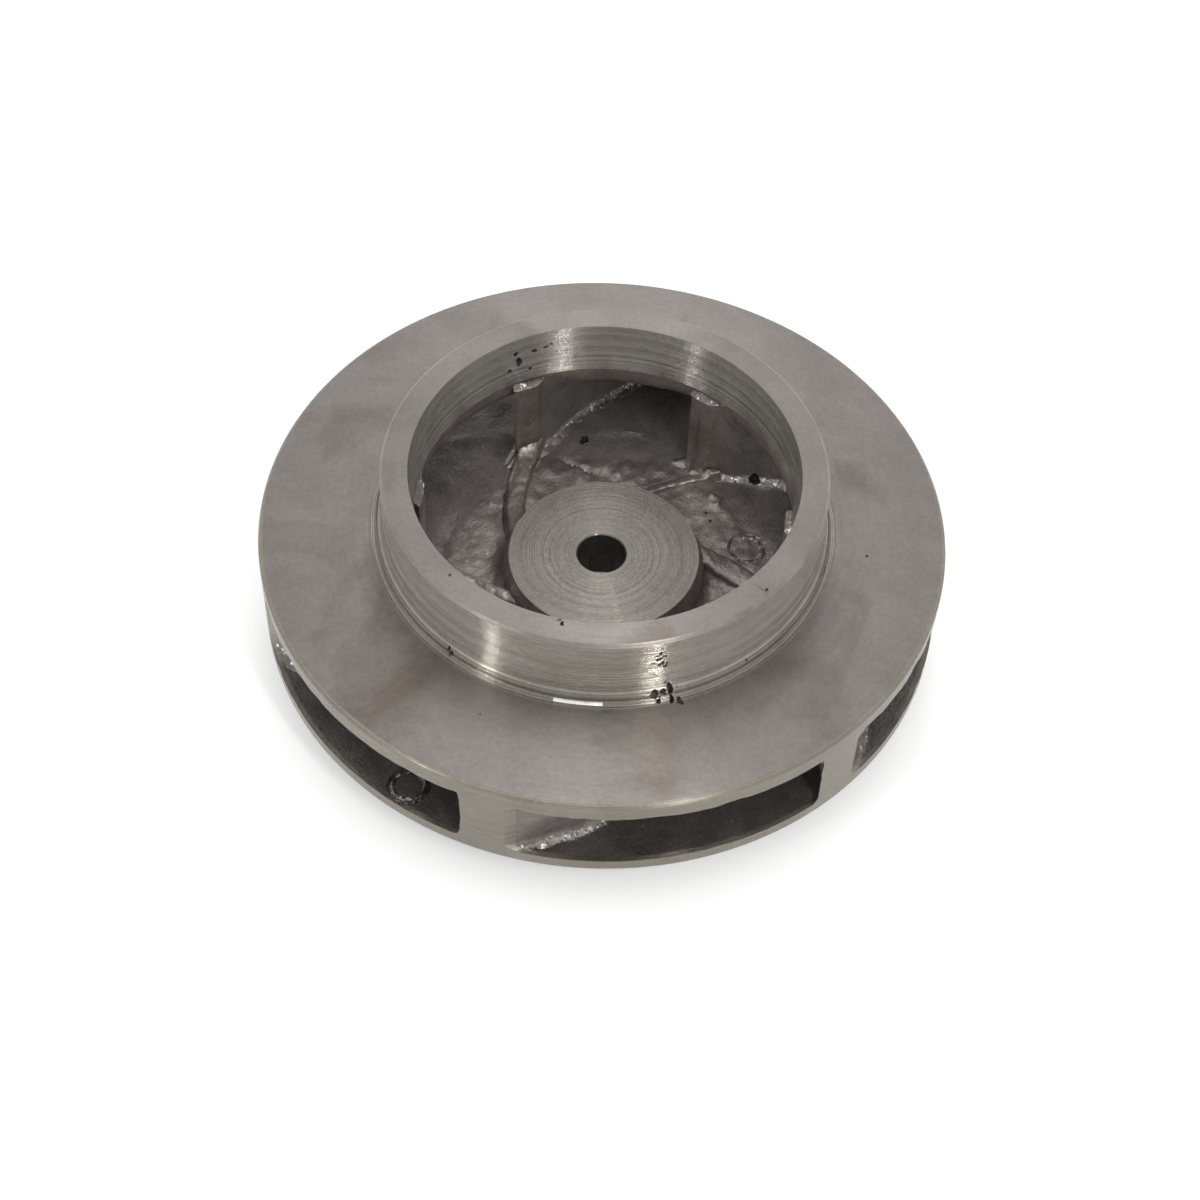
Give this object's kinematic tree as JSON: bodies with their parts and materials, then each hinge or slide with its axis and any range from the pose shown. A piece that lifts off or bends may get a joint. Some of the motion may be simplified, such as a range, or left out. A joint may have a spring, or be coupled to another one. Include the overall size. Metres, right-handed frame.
{
  "type": "pump impeller",
  "caption": "Closed centrifugal pump impeller: curved vanes between two round shrouds, a raised eye ring round the suction eye, and a hub with a bolt hole.",
  "frame": {"origin": "on the shaft axis at the face of the rear hub boss", "axes": "+Z along the shaft axis towards the suction eye; the shaft keyway lies towards +Y"},
  "size_m": [0.2, 0.2, 0.07],
  "materials": {
    "cast_aluminium": "sand cast, turned on both shroud faces, rim, eye ring and hub nose"
  },
  "bodies": {
    "root": {"impeller": "cast_aluminium"}
  },
  "joints": []
}
